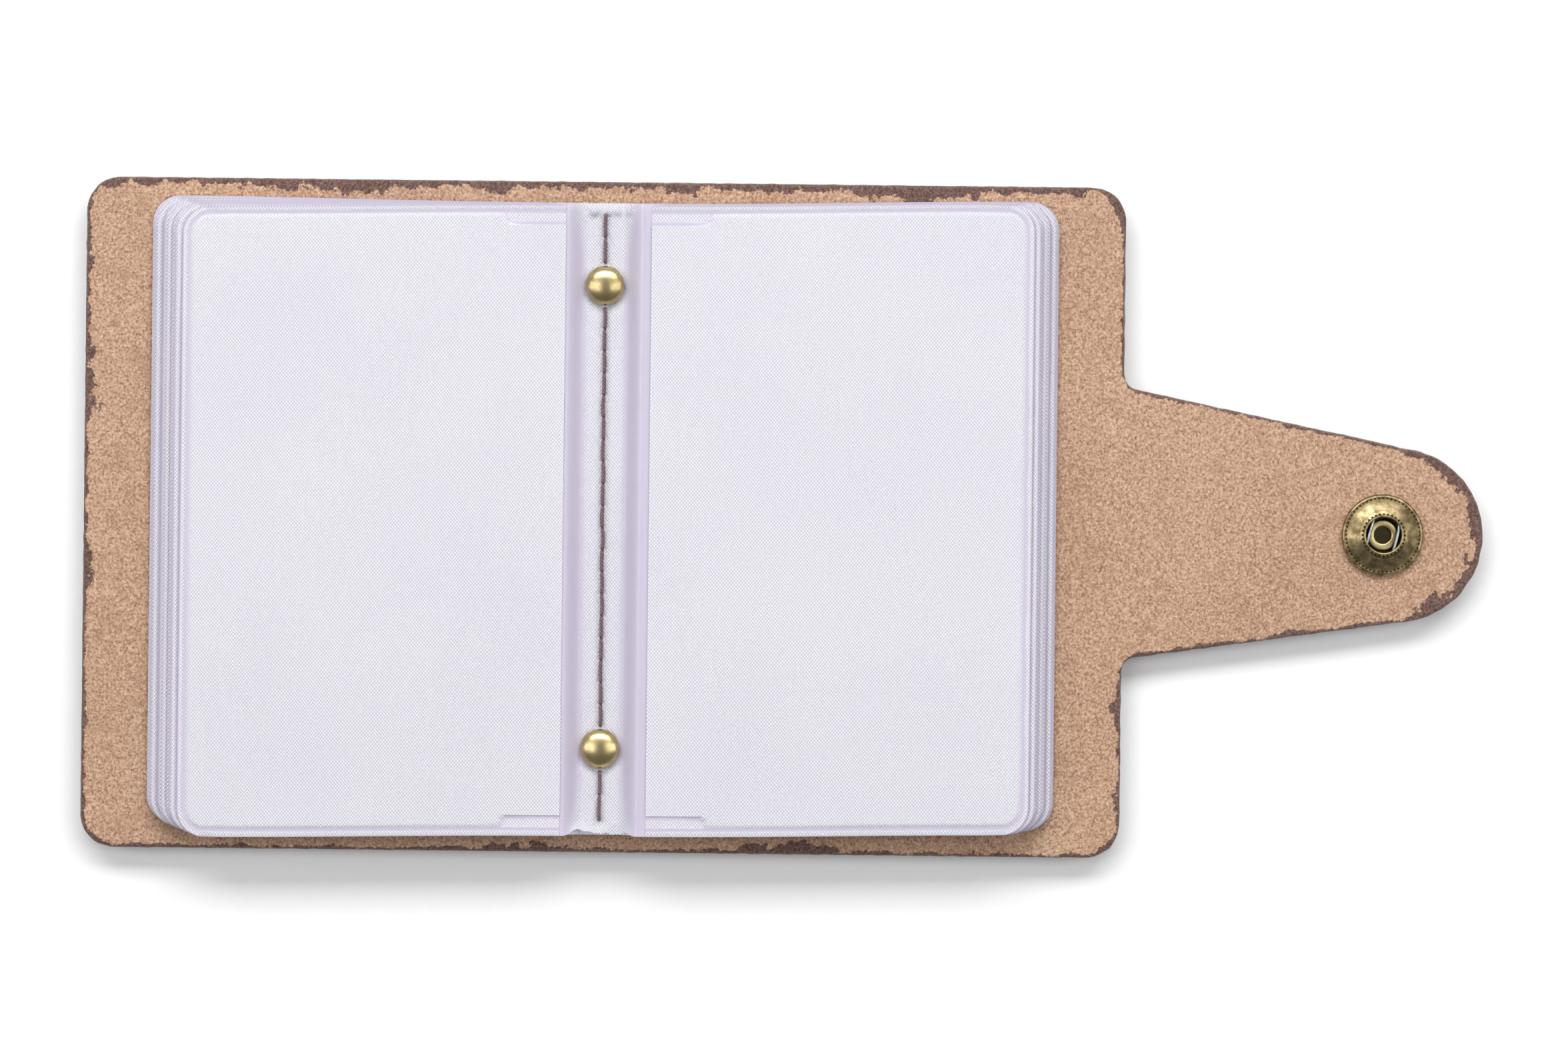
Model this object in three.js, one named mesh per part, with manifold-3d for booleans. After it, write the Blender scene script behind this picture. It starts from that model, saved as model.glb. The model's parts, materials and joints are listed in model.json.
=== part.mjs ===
// A snap-closed leather card case, lying open: a one-piece leather cover with a strap, and ten clear
// sheets with a card pocket on each half, sewn along their middle and riveted to the spine.
// Millimetres, +X towards the strap, +Y along the spine, +Z out of the open case.
import * as THREE from "three";
import { mergeVertices } from "three/addons/utils/BufferGeometryUtils.js";
import Module from "manifold-3d";

const wasm = await Module();
wasm.setup();

// --- Driving dimensions -------------------------------------------------------------------------
// Leather cover
const LEATHER = 2.0; // hide thickness
const COVER_WIDTH = 159; // both panels and the spine, without the strap
const COVER_HEIGHT = 102.6;
const CORNER_R = 5;
const FOLD_EASE = 0.6; // hide left at each fold beyond its own thickness, so that panels clear
const SEAM_GAP = 0.3; // between a fold strip and its neighbours

// Pocket pages
const SHEETS = 10;
const PAGE_HEIGHT = 96;
const PAGE_REACH = 69.4; // outer edge of the lowest page, from the stitch line
const FAN_LEFT = 0.55; // each page ends this much short of the page below it
const FAN_RIGHT = 0.42;
const POCKET_OPENS = 10.9; // open edge of the lowest pocket, from the stitch line
const PAGE_CORNER_R = 4.5;
const BASE_FILM = 0.15;
const POCKET_FILM = 0.15;
const POCKET_SPACE = 0.15; // between the two films, where a card slides in
const WELD = 1.7; // width of the weld round three sides of a pocket
const PAGE_GAP = 0.1; // air between one page and the next
const PAGE_LIFT = 0.5; // air between the hide and the lowest page
const PAGE_INNER = 5.9; // where the pages start to lie flat, from the stitch line

// Sewn middle of the sheets, which is as wide as the rivet caps
const PAD_LIFT = 0.9;
const PAD_THICKNESS = 2.3;
const WEB_GAP = 0.3;

// Stitching
const THREAD_R = 0.4;
const STITCH = 3.4; // nominal stitch length
const STITCH_END = 46.4; // first and last needle hole, from the middle
const NEEDLE_HOLE_R = 0.8;
const THREAD_DIP = 0.2; // how far each thread goes down its holes
const THREAD_TURN = 0.6; // where it starts to go down, from the middle of the hole

// Double-cap rivets
const RIVET_Y = 35.3;
const RIVET_CAP_R = 3.0;
const RIVET_CAP_HEIGHT = 1.7;
const RIVET_POST_R = 1.2;
const RIVET_HOLE_R = 1.5;
const RIVET_SEAT = 0.9; // how deep the post goes into the cap

// Strap
const STRAP_ROOT_HALF = 20.9; // half width where the strap leaves the cover
const STRAP_TIP_R = 13.3;
const STRAP_TIP_X = 41.8; // centre of the round end, from the cover's edge
const STRAP_DROP = 1.4; // the strap leans this much towards -Y at its tip

// Spring snap
const SNAP_X = 39.7; // snap centre, from the cover's edge
const SNAP_R = 6.25;
const SOCKET_HEIGHT = 2.7;
const SOCKET_HOLE_R = 2.95;
const SOCKET_FLOOR = 0.3; // thickness of its floor
const SOCKET_RIM = 1.2; // height of its outer rim
const SPRING_CHANNEL_R = 3.85; // the groove inside it that holds the spring
const SPRING_CLEAR = 0.1;
const SPRING_WIRE_R = 0.25;
const SPRING_Z = 1.95; // spring wire above the hide
const SPRING_LEG = 2.1; // each leg's distance from the snap's centre
const SPRING_BEND_R = 3.4;
const SPRING_TURN = -0.26; // radians
const SNAP_CAP_HEIGHT = 2.2;
const SNAP_POST_R = 1.85;
const SNAP_HOLE_R = 2.15;
const SNAP_CURL_R = 2.5;
const SNAP_CURL_Z = 0.9; // top of the curled post above the hide
const SNAP_CURL_GAP = 0.15; // between the curl and the socket's floor
const SNAP_BORE_R = 1.2;
const SNAP_BORE_FLOOR = 0.6; // above the hide's outside
const STUD_FLANGE_R = 5.2;
const STUD_FLANGE = 0.7;
const STUD_NECK_R = 1.5;
const STUD_HEAD_R = 2.4;
const STUD_TIP_Z = 1.1; // the stud's tip above the strap's hide when the snap is shut
const STUD_HEAD_Z = 1.6; // where its head meets its neck, the same way
const STUD_BORE_R = 0.8;
const EYELET_FLANGE_R = 4.5;
const EYELET_FLANGE = 0.3;
const EYELET_POST_GAP = 0.1; // between its post's end and the stud
const MATED_GAP = 0.1; // between the stud's flange and the socket's face when shut
const SEAT_GAP = 0.05; // between a metal flange and the hide it is pressed onto
const ROUNDING = 0.3; // softened edge of a pressed metal piece

// Closing
const CLOSED_GAP = 0.4; // between the two stacks of pages when the case is shut
const PANEL_GAP = 0.4; // between a stack and its panel when the case is shut

// --- Places worked out from them ----------------------------------------------------------------
const pageThickness = BASE_FILM + POCKET_SPACE + POCKET_FILM;
const pagePitch = pageThickness + PAGE_GAP;
const pocketWidth = PAGE_REACH - POCKET_OPENS;
const stackBottom = LEATHER + PAGE_LIFT;
const stack = SHEETS * pagePitch - PAGE_GAP;
const padBottom = LEATHER + PAD_LIFT;
const padTop = padBottom + PAD_THICKNESS;
const coverHalf = COVER_WIDTH / 2;
const foldGap = LEATHER + FOLD_EASE; // soft hide between two firm panels
const foldX = stack + CLOSED_GAP / 2 + PANEL_GAP + LEATHER / 2; // fold lines beside the spine
const strapRootX = coverHalf + foldGap / 2; // first fold line of the strap
const matedSpace = SOCKET_HEIGHT + MATED_GAP + STUD_FLANGE; // between the two hides at the shut snap
const strapTipX = strapRootX + 2 * foldX + LEATHER + matedSpace; // second fold line of the strap
const snapX = coverHalf + SNAP_X;
// Shut, the snap lies this far below the strap's first fold line, and the stud has to lie there too.
const studX = strapRootX - (snapX - strapTipX);
const studDepth = matedSpace - STUD_TIP_Z; // below the front panel
const endX = coverHalf + STRAP_TIP_X + STRAP_TIP_R;

// --- Materials ----------------------------------------------------------------------------------
const finish = (color, roughness, metalness) =>
  new THREE.MeshStandardMaterial({ color, roughness, metalness });
const HIDE = finish(0xc4a07c, 0.95, 0);
const CLEAR_FILM = finish(0xdfdcea, 0.3, 0);
const THREAD = finish(0x6d5560, 0.6, 0);
const ANTIQUE_BRASS = finish(0xb09a5a, 0.3, 1);
const DARK_BRASS = finish(0x7d7348, 0.4, 1);
const SPRING_STEEL = finish(0x9aa3a8, 0.3, 1);

// --- Ways of making a solid ---------------------------------------------------------------------
const CURVE_SEGMENTS = 6;
const SMALL_HOLE_SEGMENTS = 4;
const FUSE = 0.02; // how far fused films sink into their weld
const ROUND_SEGMENTS = 24;

const extrude = (shape, depth, curveSegments = CURVE_SEGMENTS) =>
  new THREE.ExtrudeGeometry(shape, { depth, bevelEnabled: false, curveSegments });

// A lathe about +Z of [radius, z] points.
const turn = (profile) => {
  const points = profile.map(([r, z]) => new THREE.Vector2(r, z));
  return new THREE.LatheGeometry(points, ROUND_SEGMENTS).rotateX(Math.PI / 2);
};

const wire = (curve, radius, steps) => {
  const section = new THREE.Shape().absarc(0, 0, radius, 0, 2 * Math.PI);
  return new THREE.ExtrudeGeometry(section, {
    extrudePath: curve,
    steps,
    bevelEnabled: false,
    curveSegments: 4,
  });
};

const solid = (geometry) => {
  const bare = geometry.clone();
  bare.deleteAttribute("normal");
  bare.deleteAttribute("uv");
  const merged = mergeVertices(bare, 1e-4);
  return new wasm.Manifold(
    new wasm.Mesh({
      numProp: 3,
      vertProperties: merged.attributes.position.array,
      triVerts: new Uint32Array(merged.index.array),
    }),
  );
};

const geometryOf = (manifold) => {
  const mesh = manifold.getMesh();
  return new THREE.BufferGeometry()
    .setAttribute("position", new THREE.BufferAttribute(mesh.vertProperties, 3))
    .setIndex(new THREE.BufferAttribute(mesh.triVerts, 1));
};

const part = (name, geometry, material, x = 0, y = 0, z = 0) => {
  const mesh = new THREE.Mesh(geometry, material);
  mesh.name = name;
  mesh.position.set(x, y, z);
  return mesh;
};

const mirrored = (mesh) => {
  mesh.scale.x = -1;
  mesh.position.x *= -1;
  return mesh;
};

// --- Outlines -----------------------------------------------------------------------------------
const rectangle = (x0, x1, y0, y1) => {
  const s = new THREE.Shape();
  s.moveTo(x0, y0).lineTo(x1, y0).lineTo(x1, y1).lineTo(x0, y1).closePath();
  return s;
};

// Square at x0, and with round corners at x1.
const panelOutline = (x0, x1, halfHeight, r) => {
  const s = new THREE.Shape();
  s.moveTo(x0, -halfHeight).lineTo(x1 - r, -halfHeight);
  s.absarc(x1 - r, -halfHeight + r, r, -Math.PI / 2, 0);
  s.absarc(x1 - r, halfHeight - r, r, 0, Math.PI / 2);
  s.lineTo(x0, halfHeight).closePath();
  return s;
};

const hole = (shape, x, y, r) =>
  shape.holes.push(new THREE.Path().absarc(x, y, r, 0, 2 * Math.PI, true));

// Each straight side of the strap runs from a root corner to where it touches the round end.
const strapSide = (sign) => {
  const cx = STRAP_TIP_X;
  const dy = -STRAP_DROP - sign * STRAP_ROOT_HALF;
  const reach = Math.hypot(cx, dy);
  const angle =
    Math.atan2(dy, cx) + sign * (Math.PI / 2 - Math.acos(STRAP_TIP_R / reach));
  return { slope: Math.tan(angle), touch: angle + (sign * Math.PI) / 2 };
};
const upper = strapSide(1);
const lower = strapSide(-1);
const upperEdge = (x) => STRAP_ROOT_HALF + upper.slope * (x - coverHalf);
const lowerEdge = (x) => -STRAP_ROOT_HALF + lower.slope * (x - coverHalf);

const strapBand = (x0, x1) => {
  const s = new THREE.Shape();
  s.moveTo(x0, lowerEdge(x0)).lineTo(x1, lowerEdge(x1));
  s.lineTo(x1, upperEdge(x1)).lineTo(x0, upperEdge(x0)).closePath();
  return s;
};

const strapTip = (x0) => {
  const s = new THREE.Shape();
  s.moveTo(x0, upperEdge(x0)).lineTo(x0, lowerEdge(x0));
  s.absarc(
    coverHalf + STRAP_TIP_X,
    -STRAP_DROP,
    STRAP_TIP_R,
    lower.touch,
    upper.touch,
  );
  s.closePath();
  hole(s, snapX, -STRAP_DROP, SNAP_HOLE_R);
  return s;
};

// --- Leather cover ------------------------------------------------------------------------------
const coverParts = () => {
  const half = COVER_HEIGHT / 2;
  const panelStart = foldX + foldGap / 2;
  const front = panelOutline(panelStart, coverHalf, half, CORNER_R);
  hole(front, studX, -STRAP_DROP, SNAP_HOLE_R);
  const back = panelOutline(panelStart, coverHalf, half, CORNER_R);
  const spineHalf = foldX - foldGap / 2;
  const spine = rectangle(-spineHalf, spineHalf, -half, half);
  for (const y of [-RIVET_Y, RIVET_Y]) hole(spine, 0, y, RIVET_HOLE_R);
  const fold = foldGap / 2 - SEAM_GAP;
  const strip = rectangle(foldX - fold, foldX + fold, -half, half);
  const strapFold = (x) => strapBand(x - fold, x + fold);
  return [
    mirrored(part("front_panel", extrude(front, LEATHER), HIDE)),
    part("back_panel", extrude(back, LEATHER), HIDE),
    part("spine_panel", extrude(spine, LEATHER), HIDE),
    mirrored(part("front_fold", extrude(strip, LEATHER), HIDE)),
    part("back_fold", extrude(strip, LEATHER), HIDE),
    part("strap_root_fold", extrude(strapFold(strapRootX), LEATHER), HIDE),
    part(
      "strap_wrap",
      extrude(
        strapBand(strapRootX + foldGap / 2, strapTipX - foldGap / 2),
        LEATHER,
      ),
      HIDE,
    ),
    part("strap_tip_fold", extrude(strapFold(strapTipX), LEATHER), HIDE),
    part("strap_tip", extrude(strapTip(strapTipX + foldGap / 2), LEATHER), HIDE),
  ];
};

// --- Pocket pages, counted from the top ---------------------------------------------------------
// A page is its half of the sheet, with the pocket film welded to it along three sides.
const page = (name, number, fan) => {
  const below = SHEETS - number;
  const reach = PAGE_REACH - below * fan;
  const open = reach - pocketWidth;
  const half = PAGE_HEIGHT / 2;
  const base = panelOutline(PAGE_INNER, reach, half, PAGE_CORNER_R);
  const pocket = panelOutline(open, reach, half, PAGE_CORNER_R);
  const space = rectangle(open - WELD, reach - WELD, -half + WELD, half - WELD);
  const sheet = solid(extrude(base, BASE_FILM));
  const film = solid(
    extrude(pocket, POCKET_FILM).translate(0, 0, BASE_FILM + POCKET_SPACE),
  );
  const weld = solid(
    extrude(pocket, POCKET_SPACE + 2 * FUSE).translate(0, 0, BASE_FILM - FUSE),
  ).subtract(solid(extrude(space, pageThickness)));
  const fused = geometryOf(sheet.add(weld).add(film));
  return part(name, fused, CLEAR_FILM, 0, 0, stackBottom + below * pagePitch);
};

const pageParts = () => {
  const made = [];
  for (let n = 1; n <= SHEETS; n++) {
    const label = String(n).padStart(2, "0");
    made.push(mirrored(page(`left_page_${label}`, n, FAN_LEFT)));
    made.push(page(`right_page_${label}`, n, FAN_RIGHT));
  }
  return made;
};

// --- Sewn middle --------------------------------------------------------------------------------
const rivetClear = RIVET_CAP_R + SEAM_GAP;
const RUNS = [
  ["upper", RIVET_Y + rivetClear, STITCH_END],
  ["middle", -RIVET_Y + rivetClear, RIVET_Y - rivetClear],
  ["lower", -STITCH_END, -RIVET_Y - rivetClear],
];
const needleHoles = (start, end) => {
  const count = Math.round((end - start) / STITCH);
  return Array.from(
    { length: count + 1 },
    (_, i) => start + ((end - start) * i) / count,
  );
};

const bindingParts = () => {
  const half = PAGE_HEIGHT / 2;
  const pad = rectangle(-RIVET_CAP_R, RIVET_CAP_R, -half, half);
  for (const y of [-RIVET_Y, RIVET_Y]) hole(pad, 0, y, RIVET_HOLE_R);
  for (const [, start, end] of RUNS)
    for (const y of needleHoles(start, end)) hole(pad, 0, y, NEEDLE_HOLE_R);
  const padSolid = extrude(pad, PAD_THICKNESS, SMALL_HOLE_SEGMENTS);
  // Beside the stitching the sheets spread from the sewn pad to the height of the stack.
  const inner = RIVET_CAP_R + WEB_GAP;
  const outer = PAGE_INNER - WEB_GAP;
  const web = new THREE.Shape();
  web.moveTo(inner, padBottom).lineTo(outer, stackBottom);
  web.lineTo(outer, stackBottom + stack).lineTo(inner, padTop).closePath();
  const webSolid = extrude(web, PAGE_HEIGHT).rotateX(Math.PI / 2);
  return [
    part("sewn_middle", padSolid, CLEAR_FILM, 0, 0, padBottom),
    mirrored(part("left_web", webSolid, CLEAR_FILM, 0, half, 0)),
    part("right_web", webSolid, CLEAR_FILM, 0, half, 0),
  ];
};

// One thread of a lockstitch: flat along the sheet between the holes, and dipping into each of them.
const stitchLine = (holes) => {
  const thick = 2 * THREAD_R;
  const under = holes.flatMap((y) => [
    [y - THREAD_TURN, SEAT_GAP],
    [y - THREAD_TURN / 2, -THREAD_DIP],
    [y + THREAD_TURN / 2, -THREAD_DIP],
    [y + THREAD_TURN, SEAT_GAP],
  ]);
  const over = holes.flatMap((y) => [
    [y - THREAD_TURN / 2, SEAT_GAP + thick],
    [y, SEAT_GAP + thick - THREAD_DIP],
    [y + THREAD_TURN / 2, SEAT_GAP + thick],
  ]);
  // The line ends inside its first and last holes.
  const outline = [...under.slice(2, -2), ...over.slice(1, -1).reverse()];
  const s = new THREE.Shape(outline.map(([y, z]) => new THREE.Vector2(y, z)));
  return extrude(s, thick).translate(0, 0, -THREAD_R);
};

const threadParts = () =>
  RUNS.flatMap(([run, start, end]) => {
    const holes = needleHoles(start, end);
    const needle = stitchLine(holes).rotateX(Math.PI / 2).rotateZ(Math.PI / 2);
    const bobbin = stitchLine(holes).rotateX(-Math.PI / 2).rotateZ(Math.PI / 2);
    return [
      part(`needle_thread_${run}`, needle, THREAD, 0, 0, padTop),
      part(`bobbin_thread_${run}`, bobbin, THREAD, 0, 0, padBottom),
    ];
  });

// --- Rivets -------------------------------------------------------------------------------------
// A shallow dome of this radius and height, from its crown to its rim.
const dome = (r, height, steps = 5) =>
  Array.from({ length: steps + 1 }, (_, i) => {
    const a = (i / steps) * (Math.PI / 2);
    return [r * Math.sin(a), height * Math.cos(a)];
  });

const rivetParts = () => {
  const seat = padTop + SEAT_GAP;
  const cap = [
    ...dome(RIVET_CAP_R, RIVET_CAP_HEIGHT - ROUNDING).map(([r, z]) => [r, z + ROUNDING]),
    [RIVET_CAP_R, 0],
    [RIVET_HOLE_R, 0],
    [RIVET_HOLE_R, RIVET_SEAT + SEAM_GAP],
    [0, RIVET_SEAT + SEAM_GAP],
  ].reverse();
  const post = [
    [0, seat + RIVET_SEAT],
    [RIVET_POST_R, seat + RIVET_SEAT],
    [RIVET_POST_R, -SEAT_GAP],
    [RIVET_CAP_R, -SEAT_GAP],
    ...dome(RIVET_CAP_R, RIVET_CAP_HEIGHT - ROUNDING)
      .reverse()
      .map(([r, z]) => [r, -SEAT_GAP - ROUNDING - z]),
  ].reverse();
  return [
    ["lower", -RIVET_Y],
    ["upper", RIVET_Y],
  ].flatMap(([where, y]) => [
    part(`${where}_rivet_cap`, turn(cap), ANTIQUE_BRASS, 0, y, seat),
    part(`${where}_rivet_post`, turn(post), ANTIQUE_BRASS, 0, y, 0),
  ]);
};

// --- Spring snap --------------------------------------------------------------------------------
const snapSocket = () => {
  const floorTop = SEAT_GAP + SOCKET_FLOOR;
  const channelLow = SPRING_Z - SPRING_WIRE_R - SPRING_CLEAR;
  const channelHigh = SPRING_Z + SPRING_WIRE_R + SPRING_CLEAR;
  const hollow = [
    [SOCKET_HOLE_R, SOCKET_HEIGHT - ROUNDING / 3],
    [SOCKET_HOLE_R, channelHigh],
    [SPRING_CHANNEL_R, channelHigh],
    [SPRING_CHANNEL_R, channelLow],
    [SOCKET_HOLE_R, channelLow],
    [SOCKET_HOLE_R, floorTop],
    [SNAP_HOLE_R, floorTop],
    [SNAP_HOLE_R, SEAT_GAP],
  ];
  return turn([
    [SNAP_HOLE_R, SEAT_GAP],
    [SNAP_R - ROUNDING, SEAT_GAP],
    [SNAP_R, SEAT_GAP + ROUNDING],
    [SNAP_R, SOCKET_RIM - ROUNDING],
    [SNAP_R - ROUNDING, SOCKET_RIM],
    [SNAP_R - 2 * ROUNDING, SOCKET_RIM],
    [SPRING_CHANNEL_R, SOCKET_HEIGHT - ROUNDING / 2],
    [(SPRING_CHANNEL_R + SOCKET_HOLE_R) / 2, SOCKET_HEIGHT],
    ...hollow,
  ]);
};

// The cap's hollow post goes through the hide and is curled over the socket's floor.
const snapCap = () => {
  const curlUnder = LEATHER + SEAT_GAP + SOCKET_FLOOR + SNAP_CURL_GAP;
  const curlTop = LEATHER + SNAP_CURL_Z;
  return turn([
    ...dome(SNAP_R, SNAP_CAP_HEIGHT - ROUNDING).map(([r, z]) => [
      r,
      -SEAT_GAP - ROUNDING - z,
    ]),
    [SNAP_R, -SEAT_GAP],
    [SNAP_POST_R, -SEAT_GAP],
    [SNAP_POST_R, curlUnder],
    [SNAP_CURL_R, curlUnder],
    [SNAP_CURL_R, curlTop - ROUNDING / 2],
    [SNAP_CURL_R - ROUNDING, curlTop],
    [SNAP_BORE_R + ROUNDING, curlTop],
    [SNAP_BORE_R, curlTop - ROUNDING],
    [SNAP_BORE_R, SNAP_BORE_FLOOR],
    [0, SNAP_BORE_FLOOR],
  ]);
};

// A hairpin of spring wire: two legs across the socket's hole, joined round the channel.
const snapSpring = () => {
  const legEnd = Math.sqrt(SPRING_BEND_R ** 2 - SPRING_LEG ** 2);
  const points = [new THREE.Vector3(-SPRING_LEG, -legEnd, 0)];
  points.push(new THREE.Vector3(-SPRING_LEG, 0, 0));
  const from = Math.PI - Math.atan2(legEnd, SPRING_LEG);
  const bends = 6;
  for (let i = 0; i <= bends; i++) {
    const a = from - ((2 * from - Math.PI) * i) / bends;
    points.push(
      new THREE.Vector3(SPRING_BEND_R * Math.cos(a), SPRING_BEND_R * Math.sin(a), 0),
    );
  }
  points.push(new THREE.Vector3(SPRING_LEG, 0, 0));
  points.push(new THREE.Vector3(SPRING_LEG, -legEnd, 0));
  return wire(
    new THREE.CatmullRomCurve3(points, false, "catmullrom", 0.3),
    SPRING_WIRE_R,
    28,
  ).rotateZ(SPRING_TURN);
};

// The stud points down from the front panel, and its flange lies on the hide.
const snapStud = () => {
  const face = -SEAT_GAP - STUD_FLANGE;
  const neck = SOCKET_HEIGHT + MATED_GAP - STUD_HEAD_Z;
  const tip = SOCKET_HEIGHT + MATED_GAP - STUD_TIP_Z;
  return turn(
    [
      [STUD_BORE_R, -SEAT_GAP],
      [STUD_FLANGE_R, -SEAT_GAP],
      [STUD_FLANGE_R, face + ROUNDING],
      [STUD_FLANGE_R - ROUNDING, face],
      [STUD_NECK_R, face],
      [STUD_NECK_R, face - neck],
      [STUD_HEAD_R, face - neck],
      [STUD_HEAD_R - ROUNDING, face - tip],
      [STUD_BORE_R, face - tip],
      [STUD_BORE_R, -SEAT_GAP],
    ].reverse(),
  );
};

const studEyelet = () =>
  turn([
    [0, EYELET_POST_GAP],
    [SNAP_POST_R, EYELET_POST_GAP],
    [SNAP_POST_R, LEATHER + SEAT_GAP],
    [EYELET_FLANGE_R, LEATHER + SEAT_GAP],
    [EYELET_FLANGE_R - ROUNDING, LEATHER + SEAT_GAP + EYELET_FLANGE],
    [0, LEATHER + SEAT_GAP + EYELET_FLANGE],
  ]);

const snapParts = () => [
  part("snap_cap", snapCap(), ANTIQUE_BRASS, snapX, -STRAP_DROP, 0),
  part("snap_socket", snapSocket(), DARK_BRASS, snapX, -STRAP_DROP, LEATHER),
  part(
    "snap_spring",
    snapSpring(),
    SPRING_STEEL,
    snapX,
    -STRAP_DROP,
    LEATHER + SPRING_Z,
  ),
  part("snap_stud", snapStud(), DARK_BRASS, -studX, -STRAP_DROP, 0),
  part("stud_eyelet", studEyelet(), DARK_BRASS, -studX, -STRAP_DROP, 0),
];

// --- The case, standing on its lowest point with its box centred on the origin -------------------
const cardCase = new THREE.Group();
cardCase.add(
  ...coverParts(),
  ...pageParts(),
  ...bindingParts(),
  ...threadParts(),
  ...rivetParts(),
  ...snapParts(),
);
cardCase.position.set(-(endX - coverHalf) / 2, 0, studDepth + SEAT_GAP);

export default cardCase;
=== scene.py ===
# %% [markdown]
# # A snap-closed leather card case
# The case lies open with its rough flesh side up. A book of clear card sleeves is sewn and riveted
# to its spine, and a tapered strap ends in the socket of a spring snap. Each step below says what
# the real piece is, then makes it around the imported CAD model, which holds the sizes and the joints.

# %% Load the frame
import json
import math
import random

import bmesh
import bpy
from mathutils import Matrix, Vector, noise


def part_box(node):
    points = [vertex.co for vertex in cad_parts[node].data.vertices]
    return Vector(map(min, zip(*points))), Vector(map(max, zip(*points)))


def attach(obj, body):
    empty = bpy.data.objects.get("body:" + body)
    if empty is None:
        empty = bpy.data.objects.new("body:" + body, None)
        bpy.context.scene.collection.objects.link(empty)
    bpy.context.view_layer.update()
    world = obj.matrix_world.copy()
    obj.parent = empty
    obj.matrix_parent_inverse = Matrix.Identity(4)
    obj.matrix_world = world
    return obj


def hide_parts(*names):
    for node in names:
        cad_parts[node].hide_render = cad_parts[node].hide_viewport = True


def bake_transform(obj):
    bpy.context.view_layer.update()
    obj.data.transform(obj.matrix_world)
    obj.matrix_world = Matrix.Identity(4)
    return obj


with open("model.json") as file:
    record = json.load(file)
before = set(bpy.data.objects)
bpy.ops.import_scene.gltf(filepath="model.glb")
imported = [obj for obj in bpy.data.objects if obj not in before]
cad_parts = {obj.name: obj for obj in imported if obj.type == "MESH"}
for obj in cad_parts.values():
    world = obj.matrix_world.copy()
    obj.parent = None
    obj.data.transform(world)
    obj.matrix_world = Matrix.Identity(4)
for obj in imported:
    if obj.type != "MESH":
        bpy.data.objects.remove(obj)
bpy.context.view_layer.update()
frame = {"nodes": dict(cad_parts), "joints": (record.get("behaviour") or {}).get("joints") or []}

# %% [markdown]
# ## Sizes
# Every place comes from a CAD node's box. Millimetres are easier to read than metres, so a size
# that is this script's own is written as so many `MM`.

# %% Sizes taken from the frame
MM = 0.001


def box(node):
    """The lower and upper corners of a CAD node's box."""
    return [Vector(corner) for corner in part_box(node)]


spine_low, spine_high = box("spine_panel")
MIDDLE = (spine_low.x + spine_high.x) / 2  # the stitch line
GRAIN_Z = spine_low.z  # outside of the hide
FLESH_Z = spine_high.z  # inside of the hide
HIDE = FLESH_Z - GRAIN_Z
HALF_HEIGHT = spine_high.y
COVER_LEFT = box("front_panel")[0].x
COVER_RIGHT = box("back_panel")[1].x
hinge_x = {j["name"]: j["pos_m"][0] for j in frame["joints"]}
PAGES = sum(name.startswith("left_page_") for name in frame["nodes"])
print("hide", round(HIDE / MM, 2), "mm thick,", PAGES, "pages a side, stitch line at x", MIDDLE)

# %% [markdown]
# ## Helpers
# Four small tools do most of the work. A grid whose lines are given one by one puts its vertices where
# a profile needs them. A lathe spins a profile of radius and height. A curve drawn as a tube makes
# thread and wire. `finish` closes a piece: it merges doubles, turns the faces outwards and keeps
# sharp corners sharp under smooth shading.

# %% Grid, lathe, tube and finishing
def grid(xs, ys):
    bm = bmesh.new()
    bmesh.ops.create_grid(bm, x_segments=len(xs) - 1, y_segments=len(ys) - 1, size=0.5)
    for v in bm.verts:
        column = round((v.co.x + 0.5) * (len(xs) - 1))
        row = round((v.co.y + 0.5) * (len(ys) - 1))
        v.co = (xs[column], ys[row], 0)
    return bm


def spaced(start, end, step):
    count = max(1, round(abs(end - start) / step))
    return [start + (end - start) * i / count for i in range(count + 1)]


def lathe(profile, centre, steps=72, bm=None):
    """Spins [radius, height] points about the upright line through centre."""
    bm = bm or bmesh.new()
    verts = [bm.verts.new(Vector(centre) + Vector((r, 0, z))) for r, z in profile]
    edges = [bm.edges.new(pair) for pair in zip(verts, verts[1:])]
    bmesh.ops.spin(
        bm, geom=verts + edges, cent=centre, axis=(0, 0, 1),
        angle=math.tau, steps=steps, use_merge=True, use_duplicate=False,
    )
    return bm


def arc(r, z, radius, start, end, count=6):
    """Points of a profile's round corner, from one angle in degrees to another."""
    angles = [math.radians(start + (end - start) * i / count) for i in range(count + 1)]
    return [(r + radius * math.cos(a), z + radius * math.sin(a)) for a in angles]


def finish(bm, name, material, sharp=40):
    bmesh.ops.remove_doubles(bm, verts=bm.verts, dist=1e-6)
    bmesh.ops.recalc_face_normals(bm, faces=bm.faces)
    for edge in bm.edges:
        edge.smooth = edge.calc_face_angle(0) < math.radians(sharp)
    for face in bm.faces:
        face.smooth = True
    mesh = bpy.data.meshes.new(name)
    bm.to_mesh(mesh)
    bm.free()
    piece = bpy.data.objects.new(name, mesh)
    bpy.context.scene.collection.objects.link(piece)
    mesh.materials.append(material)
    print(name, len(mesh.polygons), "faces")
    return piece


def add_part(bm, part):
    """Adds one bmesh to another and frees it."""
    mesh = bpy.data.meshes.new("part")
    part.to_mesh(mesh)
    part.free()
    bm.from_mesh(mesh)
    bpy.data.meshes.remove(mesh)


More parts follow.
